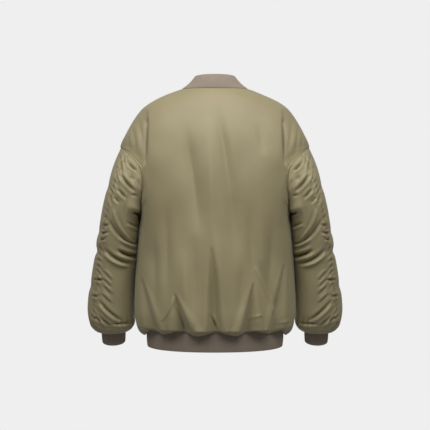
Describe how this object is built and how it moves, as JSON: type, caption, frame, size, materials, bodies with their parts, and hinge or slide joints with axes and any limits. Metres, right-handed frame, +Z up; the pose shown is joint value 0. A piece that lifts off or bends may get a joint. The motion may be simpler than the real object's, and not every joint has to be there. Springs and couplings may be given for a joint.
{
  "type": "bomber jacket",
  "caption": "Loose hip-length bomber jacket in satin nylon, standing hollow as worn, with ribbed collar, cuffs and hem, ruched two-piece sleeves and a closed front zip.",
  "frame": {"origin": "where the wearer's shoulders carry it: on the middle plane, level with the neck points, over the side seams", "axes": "+Z up along the wearer's spine, -Y towards the wearer's front and the zip, +X towards the wearer's left"},
  "size_m": [0.6942, 0.3213, 0.7315],
  "materials": {
    "shell": "satin olive khaki nylon twill with a soft sheen",
    "rib": "matte taupe 1x1 rib knit",
    "zip_tape": "matte olive woven tape",
    "zip_metal": "worn nickel"
  },
  "bodies": {
    "jacket": {"back_panel": "shell", "front_left": "shell", "front_right": "shell", "sleeve_left_back": "shell", "sleeve_left_front": "shell", "sleeve_right_back": "shell", "sleeve_right_front": "shell", "collar_rib": "rib", "hem_rib": "rib", "cuff_left": "rib", "cuff_right": "rib", "zip_tape_left": "zip_tape", "zip_tape_right": "zip_tape", "zip_slider": "zip_metal"},
    "pull_tab": {"zip_pull": "zip_metal"}
  },
  "joints": [
    {"name": "pull_hinge", "type": "hinge", "parent": "jacket", "child": "pull_tab", "pos_m": [0, -0.10303, -0.09063], "axis": [-1, 0, 0], "range_deg": [0, 140]}
  ]
}
